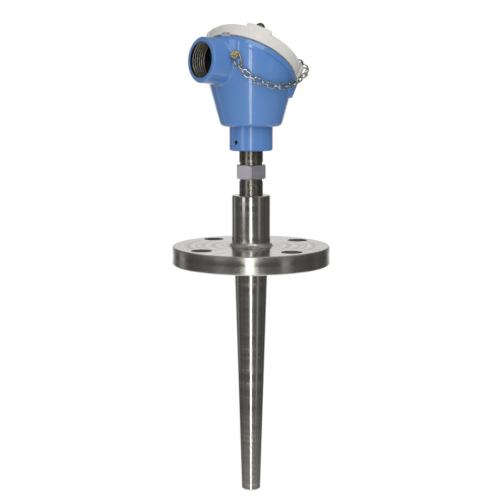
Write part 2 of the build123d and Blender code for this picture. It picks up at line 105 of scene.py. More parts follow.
# Small metal: both ends of its tarnish, its least roughness, and, if unlike the rest, its patches and relief
METALS = {
    "dark_screw": dict(dark=(0.05, 0.047, 0.04), light=(0.20, 0.185, 0.15), rough=0.30),
    "brass": dict(dark=(0.13, 0.10, 0.045), light=(0.62, 0.52, 0.30), rough=0.16),
    "chain_steel": dict(dark=(0.13, 0.12, 0.09), light=(0.86, 0.84, 0.78), rough=0.10),
    "zinc_screw": dict(dark=(0.45, 0.45, 0.44), light=(0.66, 0.65, 0.61), rough=0.26),
    "sheath_steel": dict(dark=(0.50, 0.49, 0.47), light=(0.62, 0.61, 0.59), rough=0.26, patch=0.004),
    "spring_wire": dict(dark=(0.34, 0.33, 0.32), light=(0.55, 0.54, 0.52), rough=0.25),
    "entry_thread_metal": dict(dark=(0.16, 0.155, 0.14), light=(0.30, 0.29, 0.25), rough=0.30,
                               patch=0.03, relief=0.000002),
}

# Rubber, ceramic and insulation: both ends of the mottling, and the least roughness
SOLIDS = {
    "gasket_rubber": dict(dark=(0.018, 0.018, 0.018), light=(0.04, 0.04, 0.038), rough=0.6),
    "white_ceramic": dict(dark=(0.72, 0.70, 0.65), light=(0.80, 0.79, 0.75), rough=0.42),
    "red_insulation": dict(dark=(0.42, 0.02, 0.018), light=(0.52, 0.035, 0.03), rough=0.38),
    "white_insulation": dict(dark=(0.70, 0.69, 0.66), light=(0.78, 0.77, 0.75), rough=0.38),
}

# The CAD nodes of each finish. The two springs have none: coils made here replace them.
DRESSED = {
    "turned_steel": ("thermowell", "flange"),
    "weld": ("upper_weld", "lower_weld"),
    "nipple_steel": ("hex_nipple",),
    "blue_casting": ("head_body",),
    "pale_lid": ("lid",),
    "gasket_rubber": ("lid_gasket",),
    "dark_screw": ("boss_grub_screw", "cover_screw_front", "cover_screw_right", "cover_screw_rear",
                   "cover_screw_left"),
    "brass": ("chain_body_screw", "chain_hook", "terminal_clamps"),
    "chain_steel": ("chain_links", "chain_lid_ring"),
    "zinc_screw": ("terminal_screws", "block_screws", "insert_screws"),
    "sheath_steel": ("insert_sheath", "insert_plate"),
    "white_ceramic": ("terminal_block",),
    "red_insulation": ("red_lead_wires",),
    "white_insulation": ("white_lead_wires",),
}

# The entry's thread
RIDGE_HALF = 0.46        # half a ridge's width at its foot, in pitches
CREST_SHARE = 0.16       # its crest's width against that of its foot
FOOT_SINK = 0.0002       # how deep its foot sits in the wall, in metres
THREAD_SHORTER = 1.6     # how much shorter than the bore the thread is, in pitches
THREAD_START = 0.9       # where it starts from the bore's inner end, in pitches

# The springs' wire: segments in a turn of it, and round it
COIL_STEPS = 40
WIRE_SIDES = 12

# The weld's ripples
RIPPLE_IN = 0.62         # their ring's place from the weld's outer edge, as a share of its leg
RIPPLE_UP = 0.34         # and from its lower face
RIPPLE_SIZES = 0.88, 1.10
RIPPLE_STRETCH = 1.15    # length along the ring against thickness
RING_STEPS = 256
BEAD_SEGMENTS, BEAD_RINGS = 14, 8
RIPPLE_SEED = 4

CAMERA_PLACE = Vector((-0.6133, -0.7557, 0.1544))
CAMERA_BACK = Vector((-0.6229, -0.7691, 0.1430)).normalized()
FLOOR_RADIUS = 0.55
FLOOR_GLOW = 0.7

# What reflections show of the room. Height is the sine of the elevation: from, to, and the strength at each.
ROOM = -0.2, 0.9, 0.11, 0.27
GROUND = -0.28, -0.46, 0.0, 0.50
CEILING = 0.35, 0.90, 0.0, 0.50
WHITE_BEHIND = 0.80, 0.95      # cosine of the angle from straight behind the probe

# Lamps: azimuth and elevation in degrees as aim() takes them, distance, width and height, then the
# setting for the power, the lamp's share of it, and the height that the lamp looks at
LAMPS = {
    "strip": (-2.0, 0.0, 0.62, 0.085, 1.16, "strip_light", 1.0, 0.02),
    "key": (20.0, 48.0, 1.7, 1.1, 1.1, "key_light", 1.0, 0.02),
    "side": (50.0, 2.0, 1.7, 0.40, 1.6, "key_light", 0.09, 0.02),
    "fill": (-46.0, 0.0, 1.7, 0.50, 0.45, "key_light", 0.20, 0.10),
    "glint": (-30.0, 4.0, 1.7, 0.10, 0.16, "key_light", 0.035, 0.17),
    "far": (-117.0, 6.0, 1.7, 0.45, 1.6, "key_light", 0.10, 0.02),
}


# Settings that a user changes

class ProbeFinish(bpy.types.PropertyGroup):
    paint: bpy.props.FloatVectorProperty(
        name="Paint", description="Colour of the painted casting", subtype="COLOR",
        size=3, min=0, max=1, default=(0.092, 0.230, 0.54))
    lid_paint: bpy.props.FloatVectorProperty(
        name="Lid", description="Colour of the pale sand-cast lid", subtype="COLOR",
        size=3, min=0, max=1, default=(0.70, 0.68, 0.645))
    steel: bpy.props.FloatVectorProperty(
        name="Turned steel", description="Tint of the turned stainless steel", subtype="COLOR",
        size=3, min=0, max=1, default=(0.50, 0.488, 0.45))
    nipple: bpy.props.FloatVectorProperty(
        name="Nipple", description="Tint of the darker nipple", subtype="COLOR",
        size=3, min=0, max=1, default=(0.26, 0.245, 0.21))
    turning_pitch: bpy.props.FloatProperty(
        name="Turning pitch", description="Distance between the lathe's marks", subtype="DISTANCE",
        unit="LENGTH", min=0.00005, max=0.005, default=0.0005)
    sand_grain: bpy.props.FloatProperty(
        name="Sand grain", description="Size of the grain that the mould leaves on the lid",
        subtype="DISTANCE", unit="LENGTH", min=0.0002, max=0.01, default=0.0014)


class ProbeThread(bpy.types.PropertyGroup):
    pitch: bpy.props.FloatProperty(
        name="Pitch", description="Distance between the entry thread's crests", subtype="DISTANCE",
        unit="LENGTH", min=0.0005, max=0.006, default=0.002309)
    depth: bpy.props.FloatProperty(
        name="Depth", description="How far the crests stand in from the bore's wall", subtype="DISTANCE",
        unit="LENGTH", min=0.0001, max=0.003, default=0.0009)
    steps: bpy.props.IntProperty(
        name="Steps a turn", description="Segments in one turn of the thread", min=12, max=128, default=72)


class ProbeWeld(bpy.types.PropertyGroup):
    ripples: bpy.props.IntProperty(
        name="Ripples", description="Ripples round the weld at the hub's foot", min=8, max=200, default=54)
    bead: bpy.props.FloatProperty(
        name="Bead", description="Thickness of one ripple of the weld", subtype="DISTANCE",
        unit="LENGTH", min=0.0002, max=0.004, default=0.0006)


class ProbeSpring(bpy.types.PropertyGroup):
    wire: bpy.props.FloatProperty(
        name="Wire", description="Diameter of the springs' wire", subtype="DISTANCE",
        unit="LENGTH", min=0.0002, max=0.003, default=0.001)
    turns: bpy.props.FloatProperty(
        name="Turns", description="Turns of each spring", min=1, max=20, default=3.5)


class ProbeStudio(bpy.types.PropertyGroup):
    floor_drop: bpy.props.FloatProperty(
        name="Floor drop", description="How far the floor lies below the well's tip", subtype="DISTANCE",
        unit="LENGTH", min=0, max=1, default=0.30)
    room_light: bpy.props.FloatProperty(
        name="Room light", description="Strength of the soft light from all round", min=0, max=2, default=0.42)
    strip_light: bpy.props.FloatProperty(
        name="Strip light", description="Power of the tall strip beside the camera", subtype="POWER",
        unit="POWER", min=0, max=200, default=2.0)
    key_light: bpy.props.FloatProperty(
        name="Key light", description="Power of the broad soft key", subtype="POWER",
        unit="POWER", min=0, max=200, default=7.6)
    lens: bpy.props.FloatProperty(
        name="Lens", description="Focal length on a 36 mm sensor", subtype="DISTANCE_CAMERA",
        min=20, max=300, default=79.2)


# Building nodes

def add(tree, kind, inputs=(), **settings):
    """One node with its settings and inputs; an input that is a socket is linked."""
    node = tree.nodes.new(kind)
    for key, value in settings.items():
        setattr(node, key, value)
    for key, value in dict(inputs).items():
        if isinstance(value, bpy.types.NodeSocket):
            tree.links.new(value, node.inputs[key])
        else:
            node.inputs[key].default_value = value
    return node


def math_node(tree, operation, *values, clamp=False):
    """The result of one Math node."""
    return add(tree, "ShaderNodeMath", dict(enumerate(values)), operation=operation, use_clamp=clamp).outputs[0]


def times(tree, first, second):
    """First times second."""
    return math_node(tree, "MULTIPLY", first, second)


def plus(tree, first, second, clamp=False):
    """First plus second."""
    return math_node(tree, "ADD", first, second, clamp=clamp)


def highest(tree, first, *others):
    """The highest of several values."""
    for other in others:
        first = math_node(tree, "MAXIMUM", first, other)
    return first


def vector_math(tree, operation, *values):
    """The outputs of one Vector Math node."""
    return add(tree, "ShaderNodeVectorMath", dict(enumerate(values)), operation=operation).outputs


def length(tree, vector):
    """A vector's length."""
    return vector_math(tree, "LENGTH", vector)["Value"]


def scaled(tree, vector, factor):
    """A vector times a number."""
    return add(tree, "ShaderNodeVectorMath", {0: vector, "Scale": factor}, operation="SCALE").outputs[0]


def parts_of(tree, vector):
    """A vector's X, Y and Z."""
    return add(tree, "ShaderNodeSeparateXYZ", {0: vector}).outputs


def vector_of(tree, x=0.0, y=0.0, z=0.0):
    """A vector from its X, Y and Z."""
    return add(tree, "ShaderNodeCombineXYZ", {0: x, 1: y, 2: z}).outputs[0]


def map_range(tree, value, low, high, to_low=0.0, to_high=1.0):
    """Takes values from low to high on to the range from to_low to to_high, and no further."""
    return add(tree, "ShaderNodeMapRange", {
        "Value": value, "From Min": low, "From Max": high, "To Min": to_low, "To Max": to_high}).outputs[0]


def noise(tree, vector, scale, **inputs):
    """The value of a noise."""
    return add(tree, "ShaderNodeTexNoise", {"Vector": vector, "Scale": scale, **inputs}).outputs[0]


def mix_number(tree, factor, first, second):
    """From the first number to the second as the factor goes from 0 to 1."""
    return add(tree, "ShaderNodeMix", {0: factor, 2: first, 3: second}).outputs[0]


def mix_colour(tree, factor, first, second):
    """From the first colour to the second as the factor goes from 0 to 1."""
    return add(tree, "ShaderNodeMix", {0: factor, 6: first, 7: second}, data_type="RGBA").outputs[2]


def rgba(colour, gain=1.0):
    """The colour, made lighter or darker by the gain, with its alpha."""
    return tuple(min(1.0, c * gain) for c in colour) + (1.0,)


def toned(tree, factor, colour, dark, light):
    """From a darker version of the colour to a lighter one as the factor goes from 0 to 1."""
    return mix_colour(tree, factor, rgba(colour, dark), rgba(colour, light))


def spread(tree, value, low, high):
    """Takes the usual values of a noise on to the range from low to high."""
    return map_range(tree, value, *NOISE_RANGE, low, high)


def blend(tree, mask, low, high):
    """Takes a mask from 0 and 1 to low and high."""
    return map_range(tree, mask, 0.0, 1.0, low, high)


def mirrored(tree, path):
    """1 for reflected and transmitted rays."""
    return highest(tree, path["Is Glossy Ray"], path["Is Transmission Ray"])


# Shared effects

def new_group(name, inputs, outputs):
    """A shader node group with named sockets: (group, its inputs' sockets, a function that sets an output)."""
    group = bpy.data.node_groups.new(name, "ShaderNodeTree")
    group.interface.new_socket("Vector", in_out="INPUT", socket_type="NodeSocketVector")
    for socket, value in inputs.items():
        group.interface.new_socket(socket, in_out="INPUT", socket_type="NodeSocketFloat").default_value = value
    for socket in outputs:
        group.interface.new_socket(socket, in_out="OUTPUT", socket_type="NodeSocketFloat")
    inside = group.nodes.new("NodeGroupInput")
    outside = group.nodes.new("NodeGroupOutput")
    return group, inside.outputs, lambda socket, value: group.links.new(value, outside.inputs[socket])


def turning_marks_and_sheen():
    """Lathe marks: rings round Z that follow radius on a face and height on a wall; and broad bands of tone round
    it, a painted sheen in place of reflected bands.
    """
    group, given, out = new_group("turning_marks_and_sheen", {"Pitch": 0.0005, "Bands": 5.0}, ("Height", "Tone", "Band"))
    x, y, z = parts_of(group, given["Vector"])
    flat = vector_of(group, x, y)
    ring = vector_of(group, math_node(group, "DIVIDE", length(group, flat), given["Pitch"]),
                     math_node(group, "DIVIDE", z, given["Pitch"]))
    for socket, scale, detail in (("Height", 1.0, 2.0), ("Tone", 0.11, 3.0)):
        marks = add(group, "ShaderNodeTexNoise", {"Vector": ring, "Scale": scale, "Detail": detail},
                    noise_dimensions="2D")
        out(socket, marks.outputs[0])
    # Painted sheen: broad bands of lighter and darker tone round the axis, in place of reflected bands
    around = noise(group, vector_math(group, "NORMALIZE", flat)[0], given["Bands"], Detail=2.0)
    out("Band", map_range(group, around, 0.32, 0.68))
    return group


def cast_grain():
    """Sand-cast skin: rounded grains and scattered pits."""
    group, given, out = new_group("cast_grain", {"Grain": 0.0014}, ("Height", "Tone"))
    at = scaled(group, given["Vector"], math_node(group, "DIVIDE", 1.0, given["Grain"]))
    grains = noise(group, at, 1.0, Detail=4.0, Roughness=0.6)
    pits = add(group, "ShaderNodeTexVoronoi", {"Vector": at, "Scale": 0.45}, feature="F1").outputs["Distance"]
    out("Height", plus(group, grains, times(group, map_range(group, pits, 0.08, 0.34), 0.35)))
    out("Tone", noise(group, at, 0.07, Detail=3.0))
    return group


def handling_wear():
    """Soft blotches and small specks from handling, as two masks."""
    group, given, out = new_group("handling_wear", {"Size": 0.006}, ("Blotch", "Speck"))
    at = scaled(group, given["Vector"], math_node(group, "DIVIDE", 1.0, given["Size"]))
    out("Blotch", map_range(group, noise(group, at, 1.0, Detail=5.0, Roughness=0.62), 0.34, 0.66))
    out("Speck", map_range(group, noise(group, at, 6.5, Detail=2.0), 0.60, 0.72))
    return group


EFFECTS = {}


def effect(tree, make, **inputs):
    """One use of a shared effect, whose group is made the first time: its outputs."""
    if make not in EFFECTS:
        EFFECTS[make] = make()
    return add(tree, "ShaderNodeGroup", inputs, node_tree=EFFECTS[make]).outputs


# Finishes

def new_material(name, **shader):
    """A material with a Principled shader: (material, tree, shader, Object coordinates)."""
    material = bpy.data.materials.new(name)
    material.use_nodes = True
    tree = material.node_tree
    tree.nodes.clear()
    principled = add(tree, "ShaderNodeBsdfPrincipled", {k.replace("_", " "): v for k, v in shader.items()})
    add(tree, "ShaderNodeOutputMaterial", {"Surface": principled.outputs[0]})
    return material, tree, principled, add(tree, "ShaderNodeTexCoord").outputs["Object"]


def feed(tree, principled, **sockets):
    """Links what varies to the shader's inputs."""
    for key, value in sockets.items():
        tree.links.new(value, principled.inputs[key.replace("_", " ")])


def bump(tree, height, strength, distance):
    """A normal that follows the height, with its relief in metres as the distance."""
    return add(tree, "ShaderNodeBump", {"Height": height, "Strength": strength, "Distance": distance}).outputs[0]


def dress(finish, material):
    """Gives the material to every CAD node of that finish."""
    for name in DRESSED[finish]:
        materials = frame["nodes"][name].data.materials
        materials.clear()
        materials.append(material)


def hole_shade_mask(tree, at):
    """1 in the bolt holes, which lie on the X and Y axes, where shade is painted."""
    sides = [math_node(tree, "ABSOLUTE", part) for part in parts_of(tree, at)[:2]]
    outward_by = math_node(tree, "SUBTRACT", highest(tree, *sides), BOLT_CIRCLE / 2)
    from_bolt = vector_of(tree, outward_by, math_node(tree, "MINIMUM", *sides))
    return math_node(tree, "LESS_THAN", length(tree, from_bolt), BOLT_RADIUS + HOLE_MARGIN)


def steel_material(colour, pitch):
    """Turned stainless steel: rings, painted sheen as soft bands round the axis, handling marks, and painted shade
    in the darker, duller bolt holes.
    """
    material, tree, shader, at = new_material("turned_steel", Anisotropic=0.45)
    marks = effect(tree, turning_marks_and_sheen, Vector=at, Pitch=pitch, Bands=5.0)
    wear = effect(tree, handling_wear, Vector=at, Size=0.009)
    hole_shade = hole_shade_mask(tree, at)
    # Mostly painted sheen, the bands round the axis, with a little of the lathe rings' own tone
    rings_and_sheen = plus(tree, times(tree, marks["Tone"], 0.15), times(tree, marks["Band"], 0.85), clamp=True)
    tint = toned(tree, rings_and_sheen, colour, dark=0.74, light=1.10)
    tint = mix_colour(tree, times(tree, wear["Blotch"], 0.16), tint, rgba(HANDLED_STEEL))
    rough = plus(tree, spread(tree, marks["Tone"], 0.14, 0.26), times(tree, wear["Speck"], 0.03))
    feed(tree, shader,
         # Painted shade in the bolt holes: darker and less metallic there; they are also rougher
         Base_Color=mix_colour(tree, hole_shade, tint, rgba(colour, gain=0.30)),
         Tangent=add(tree, "ShaderNodeTangent", direction_type="RADIAL", axis="Z").outputs[0],
         Roughness=plus(tree, rough, times(tree, hole_shade, 0.25)),
         Metallic=math_node(tree, "SUBTRACT", 1.0, times(tree, hole_shade, 0.7)),
         Normal=bump(tree, marks["Height"], strength=0.045, distance=0.00002))
    return material


def weld_material(colour):
    """Weld metal: darker and rougher in patches."""
    material, tree, shader, at = new_material("weld", Metallic=1.0)
    blotch = effect(tree, handling_wear, Vector=at, Size=0.003)["Blotch"]
    feed(tree, shader,
         Base_Color=toned(tree, blotch, colour, dark=0.55, light=1.25),
         Roughness=blend(tree, blotch, 0.42, 0.22),
         Normal=bump(tree, blotch, strength=0.4, distance=0.00025))
    return material


def nipple_material(colour):
    """Darker steel, darker still towards the head, with a pale hexagon."""
    material, tree, shader, at = new_material("nipple_steel", Metallic=1.0)
    marks = effect(tree, turning_marks_and_sheen, Vector=at, Pitch=0.0004, Bands=3.0)
    blotch = effect(tree, handling_wear, Vector=at, Size=0.0035)["Blotch"]
    low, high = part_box("hex_nipple")
    x, y, height = parts_of(tree, at)
    darker_top = map_range(tree, height, low.z + DARKER_TOP_FROM, high.z - DARKER_TOP_TO)
    hexagon = map_range(tree, length(tree, vector_of(tree, x, y)), *HEXAGON_RADII)
    tint = toned(tree, blotch, colour, dark=0.55, light=1.1)
    # Darker towards the head
    tint = mix_colour(tree, times(tree, darker_top, 0.8), tint, rgba(DARKER_TOP_STEEL))
    feed(tree, shader,
         Base_Color=mix_colour(tree, hexagon, tint, rgba(HEXAGON_STEEL)),
         Roughness=plus(tree, blend(tree, blotch, 0.20, 0.34), times(tree, hexagon, 0.12)),
         Normal=bump(tree, plus(tree, marks["Height"], times(tree, blotch, 0.5)), strength=0.08, distance=0.00003))
    return material


def bore_mask(tree, at):
    """1 in the cable entry's bore: near enough to its axis, and not past its inner end."""
    start = ENTRY_MOUTH - ENTRY_AXIS * (ENTRY_DEPTH + BORE_BEHIND)
    offset = vector_math(tree, "SUBTRACT", at, tuple(start))[0]
    along = vector_math(tree, "DOT_PRODUCT", offset, tuple(ENTRY_AXIS))["Value"]
    radial = length(tree, vector_math(tree, "SUBTRACT", offset, scaled(tree, tuple(ENTRY_AXIS), along))[0])
    reach = map_range(tree, along, *BORE_STEP, ENTRY_RADIUS + BORE_WIDE, ENTRY_RADIUS + BORE_NARROW)
    return times(tree, math_node(tree, "LESS_THAN", radial, reach),
                 math_node(tree, "GREATER_THAN", along, BORE_START))


def casting_material(colour):
    """Glossy paint over a casting, bare metal inside the threaded entry."""
    material, tree, shader, at = new_material(
        "blue_casting", Coat_Weight=0.75, Coat_Roughness=0.04, Specular_IOR_Level=0.4)
    grain = effect(tree, cast_grain, Vector=at, Grain=0.0042)
    wear = effect(tree, handling_wear, Vector=at, Size=0.012)
    bore = bore_mask(tree, at)
    paint = toned(tree, grain["Tone"], colour, dark=0.93, light=1.07)
    paint = mix_colour(tree, times(tree, wear["Speck"], 0.12), paint, rgba(colour, gain=1.5))
    bare = mix_colour(tree, wear["Blotch"], *map(rgba, BARE_BORE))
    feed(tree, shader,
         Base_Color=mix_colour(tree, bore, paint, bare), Metallic=bore,
         Roughness=mix_number(tree, bore, spread(tree, grain["Tone"], 0.30, 0.42), 0.30),
         Normal=bump(tree, grain["Height"], strength=0.05, distance=0.0004))
    return material


def lid_material(colour, grain_size):
    """Matte off-white paint over a coarse sand-cast skin."""
    material, tree, shader, at = new_material("pale_lid", Specular_IOR_Level=0.35)
    grain = effect(tree, cast_grain, Vector=at, Grain=grain_size)
    wear = effect(tree, handling_wear, Vector=at, Size=0.010)
    paint = toned(tree, grain["Tone"], colour, dark=0.90, light=1.08)
    feed(tree, shader,
         Base_Color=mix_colour(tree, times(tree, wear["Speck"], 0.35), paint, rgba(LID_STAIN)),
         Roughness=spread(tree, grain["Tone"], 0.55, 0.78),
         Normal=bump(tree, grain["Height"], strength=0.55, distance=0.00045))
    return material


def small_metal(name, dark, light, rough, patch=0.002, relief=0.00004):
    """Plated or bare small metal pieces with tarnish in patches."""
    material, tree, shader, at = new_material(name, Metallic=1.0)
    blotch = effect(tree, handling_wear, Vector=at, Size=patch)["Blotch"]
    feed(tree, shader,
         Base_Color=mix_colour(tree, blotch, rgba(dark), rgba(light)),
         Roughness=blend(tree, blotch, rough, rough + 0.18),
         Normal=bump(tree, blotch, strength=0.3, distance=relief))
    return material


def plain_solid(name, dark, light, rough):
    """Rubber, ceramic and insulation: a mottled non-metal."""
    material, tree, shader, at = new_material(name)
    grain = effect(tree, cast_grain, Vector=at, Grain=0.002)
    feed(tree, shader,
         Base_Color=mix_colour(tree, grain["Tone"], rgba(dark), rgba(light)),
         Roughness=spread(tree, grain["Tone"], rough, rough + 0.12),
         Normal=bump(tree, grain["Height"], strength=0.2, distance=0.00005))
    return material


# Shapes that repeat or follow a path

def new_shape(name, floats, integers=()):
    """A Geometry Nodes tree with named inputs: (tree, its inputs' sockets)."""
    tree = bpy.data.node_groups.new(name, "GeometryNodeTree")
    sockets = [("Geometry", "Geometry"), *((s, "Float") for s in floats), *((s, "Int") for s in integers)]
    for socket, kind in sockets:
        tree.interface.new_socket(socket, in_out="INPUT", socket_type="NodeSocket" + kind)
    tree.interface.new_socket("Geometry", in_out="OUTPUT", socket_type="NodeSocketGeometry")
    return tree, tree.nodes.new("NodeGroupInput").outputs


def end_shape(tree, node, material):
    """Realises what the node gives, sets the material and hands it out."""
    real = add(tree, "GeometryNodeRealizeInstances", {0: node.outputs[0]})
    coloured = add(tree, "GeometryNodeSetMaterial", {"Geometry": real.outputs[0], "Material": material})
    add(tree, "NodeGroupOutput", {0: coloured.outputs[0]})
    return tree


def wound(tree, radius, rise, turns, steps, profile, material):
    """Ends the tree with a profile swept along a spiral round Z, its ends closed."""
    spiral = add(tree, "GeometryNodeCurveSpiral", {
        "Resolution": steps, "Rotations": turns, "Start Radius": radius, "End Radius": radius, "Height": rise})
    swept = add(tree, "GeometryNodeCurveToMesh", {
        "Curve": spiral.outputs[0], "Profile Curve": profile.outputs[0], "Fill Caps": True})
    return end_shape(tree, swept, material)


def helix_tree(material):
    """One flat-topped ridge that winds along Z."""
    tree, given = new_shape("thread_ridge", ("Radius", "Length", "Pitch", "Depth"), ("Steps",))
    half = times(tree, given["Pitch"], RIDGE_HALF)
    inward = times(tree, given["Depth"], -1.0)
    corners = (FOOT_SINK, 1.0), (inward, CREST_SHARE), (inward, -CREST_SHARE), (FOOT_SINK, -1.0)
    profile = add(tree, "GeometryNodeCurvePrimitiveQuadrilateral", {
        f"Point {number}": vector_of(tree, x, times(tree, half, share))
        for number, (x, share) in enumerate(corners, 1)}, mode="POINTS")
    turns = math_node(tree, "DIVIDE", given["Length"], given["Pitch"])
    return wound(tree, given["Radius"], given["Length"], turns, given["Steps"], profile, material)


def coil_tree(material):
    """A round wire wound along Z."""
    tree, given = new_shape("spring_coil", ("Radius", "Rise", "Turns", "Wire"))
    wire = add(tree, "GeometryNodeCurvePrimitiveCircle", {
        "Resolution": WIRE_SIDES, "Radius": times(tree, given["Wire"], 0.5)})
    return wound(tree, given["Radius"], given["Rise"], given["Turns"], COIL_STEPS, wire, material)


def ripple_tree(material):
    """Overlapping flat beads set round a ring, each turned to face along it."""
    tree, given = new_shape("weld_ripples", ("Radius", "Height", "Bead"), ("Ripples", "Seed"))
    ring = add(tree, "GeometryNodeCurvePrimitiveCircle", {"Resolution": RING_STEPS, "Radius": given["Radius"]})
    points = add(tree, "GeometryNodeCurveToPoints", {"Curve": ring.outputs[0], "Count": given["Ripples"]},
                 mode="COUNT")
    bead = add(tree, "GeometryNodeMeshUVSphere", {"Segments": BEAD_SEGMENTS, "Rings": BEAD_RINGS, "Radius": 1.0})
    turned = add(tree, "FunctionNodeAlignRotationToVector", {"Vector": points.outputs["Tangent"]}, axis="X")
    size = add(tree, "FunctionNodeRandomValue", {2: RIPPLE_SIZES[0], 3: RIPPLE_SIZES[1], "Seed": given["Seed"]},
               data_type="FLOAT")
    across = times(tree, given["Bead"], size.outputs[1])
    placed = add(tree, "GeometryNodeInstanceOnPoints", {
        "Points": points.outputs[0], "Instance": bead.outputs[0], "Rotation": turned.outputs[0],
        "Scale": vector_of(tree, times(tree, across, RIPPLE_STRETCH), across, across)})
    lifted = add(tree, "GeometryNodeTransform", {
        "Geometry": placed.outputs[0], "Translation": vector_of(tree, z=given["Height"])})
    return end_shape(tree, lifted, material)


def finished_mesh(name, modifier_tree, values, material):
    """Runs a Geometry Nodes tree once and returns its result as a plain mesh object."""
    seed = bpy.data.objects.new(name + "_seed", bpy.data.meshes.new(name + "_seed"))
    bpy.context.scene.collection.objects.link(seed)
    modifier = seed.modifiers.new("make", "NODES")
    modifier.node_group = modifier_tree
    for item in modifier_tree.interface.items_tree:
        if item.item_type == "SOCKET" and item.in_out == "INPUT" and item.name in values:
            modifier[item.identifier] = values[item.name]
    bpy.context.view_layer.update()
    made = bpy.data.meshes.new_from_object(seed.evaluated_get(bpy.context.evaluated_depsgraph_get()))
    seed.modifiers.remove(modifier)
    bpy.data.objects.remove(seed)
    made.name = name
    made.materials.clear()
    made.materials.append(material)
    if not made.polygons:
        raise RuntimeError(f"{name} came out empty")
    piece = bpy.data.objects.new(name, made)
    bpy.context.scene.collection.objects.link(piece)
    return piece


def outward(mesh):
    """Joins a swept mesh where it meets itself and turns its normals outward."""
    shape = bmesh.new()
    shape.from_mesh(mesh)
    bmesh.ops.remove_doubles(shape, verts=shape.verts, dist=1e-6)
    bmesh.ops.recalc_face_normals(shape, faces=shape.faces)
    shape.to_mesh(mesh)
    shape.free()


def smooth(mesh):
    """Shades every face smooth."""
    for face in mesh.polygons:
        face.use_smooth = True


# Operators

class PROBE_OT_casting(bpy.types.Operator):
    """Paint on the head casting and the lid, and the rubber between them"""
    bl_idname = "probe.casting"
    bl_label = "Head casting and lid"

    def execute(self, context):
        finish = context.scene.probe_finish
        dress("blue_casting", casting_material(finish.paint))
        dress("pale_lid", lid_material(finish.lid_paint, finish.sand_grain))
        dress("gasket_rubber", plain_solid("gasket_rubber", **SOLIDS["gasket_rubber"]))
        return {"FINISHED"}


class PROBE_OT_well(bpy.types.Operator):
    """Turned steel of the thermowell and flange, their welds, and the nipple"""
    bl_idname = "probe.well"
    bl_label = "Thermowell, flange and nipple"

    def execute(self, context):
        finish = context.scene.probe_finish
        dress("turned_steel", steel_material(finish.steel, finish.turning_pitch))
        dress("weld", weld_material(finish.steel))
        dress("nipple_steel", nipple_material(finish.nipple))
        return {"FINISHED"}


class PROBE_OT_fasteners(bpy.types.Operator):
    """Screws, brass pieces, and the chain with its ring"""
    bl_idname = "probe.fasteners"
    bl_label = "Screws and chain"

    def execute(self, context):
        for name in ("dark_screw", "brass", "chain_steel", "zinc_screw"):
            dress(name, small_metal(name, **METALS[name]))
        return {"FINISHED"}


class PROBE_OT_insert(bpy.types.Operator):
    """Sheath, plate, ceramic block and lead wires of the measuring insert"""
    bl_idname = "probe.insert"
    bl_label = "Measuring insert"

    def execute(self, context):
        dress("sheath_steel", small_metal("sheath_steel", **METALS["sheath_steel"]))
        for name in ("white_ceramic", "red_insulation", "white_insulation"):
            dress(name, plain_solid(name, **SOLIDS[name]))
        return {"FINISHED"}


class PROBE_OT_springs(bpy.types.Operator):
    """The insert's two springs"""
    bl_idname = "probe.springs"
    bl_label = "Insert springs"

    def execute(self, context):
        spring = context.scene.probe_spring
        material = small_metal("spring_wire", **METALS["spring_wire"])
        tree = coil_tree(material)
        for node in ("insert_spring_left", "insert_spring_right"):
            low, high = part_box(node)
            height = high.z - low.z
            centre = (low + high) / 2
            piece = finished_mesh(node + "_coil", tree, {
                "Radius": (high.y - low.y - spring.wire) / 2, "Rise": height - spring.wire,
                "Turns": spring.turns, "Wire": spring.wire}, material)
            piece.data.transform(Matrix.Translation((centre.x, centre.y, low.z + spring.wire / 2)))
            outward(piece.data)
            smooth(piece.data)
            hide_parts(node)
            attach(piece, "insert")
            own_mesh(piece)
        return {"FINISHED"}


class PROBE_OT_entry_thread(bpy.types.Operator):
    """Thread ridges inside the cable entry"""
    bl_idname = "probe.entry_thread"
    bl_label = "Entry thread"

    def execute(self, context):
        thread = context.scene.probe_thread
        material = small_metal("entry_thread_metal", **METALS["entry_thread_metal"])
        piece = finished_mesh("entry_thread", helix_tree(material), {
            "Radius": ENTRY_RADIUS, "Length": ENTRY_DEPTH - THREAD_SHORTER * thread.pitch, "Pitch": thread.pitch,
            "Depth": thread.depth, "Steps": thread.steps}, material)
        turn = ENTRY_AXIS.to_track_quat("Z", "Y").to_matrix().to_4x4()
        start = ENTRY_MOUTH - ENTRY_AXIS * (ENTRY_DEPTH - THREAD_START * thread.pitch)
        piece.data.transform(Matrix.Translation(start) @ turn)
        outward(piece.data)
        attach(piece, "root")
        return {"FINISHED"}


class PROBE_OT_weld_ripples(bpy.types.Operator):
    """Ripples along the weld at the hub's foot"""
    bl_idname = "probe.weld_ripples"
    bl_label = "Weld ripples"

    def execute(self, context):
        weld = context.scene.probe_weld
        material = bpy.data.materials.get("weld")
        if material is None:
            raise RuntimeError("the weld's finish comes first: run probe.well")
        leg = WELD_HIGH.z - WELD_LOW.z
        piece = finished_mesh("weld_ripples", ripple_tree(material), {
            "Radius": WELD_HIGH.x - leg * RIPPLE_IN, "Height": WELD_LOW.z + leg * RIPPLE_UP,
            "Bead": weld.bead, "Ripples": weld.ripples, "Seed": RIPPLE_SEED}, material)
        smooth(piece.data)
        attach(piece, "root")
        return {"FINISHED"}


# Stage

def aim(azimuth, elevation):
    """Direction from the probe, azimuth measured from the camera's side, positive to its right."""
    base = math.atan2(CAMERA_BACK.y, CAMERA_BACK.x) + math.radians(azimuth)
    flat = math.cos(math.radians(elevation))
    return Vector((flat * math.cos(base), flat * math.sin(base), math.sin(math.radians(elevation))))


def area_light(name, direction, distance, width, height, power, target):
    """A soft rectangular lamp that faces the target and that the camera doesn't see."""
    lamp = bpy.data.lights.new(name, "AREA")
    lamp.shape = "RECTANGLE"
    lamp.size = width
    lamp.size_y = height
    lamp.energy = power
    holder = bpy.data.objects.new(name, lamp)
    holder.location = target + direction.normalized() * distance
    holder.rotation_euler = direction.to_track_quat("Z", "Y").to_euler()
    holder.visible_camera = False
    bpy.context.scene.collection.objects.link(holder)


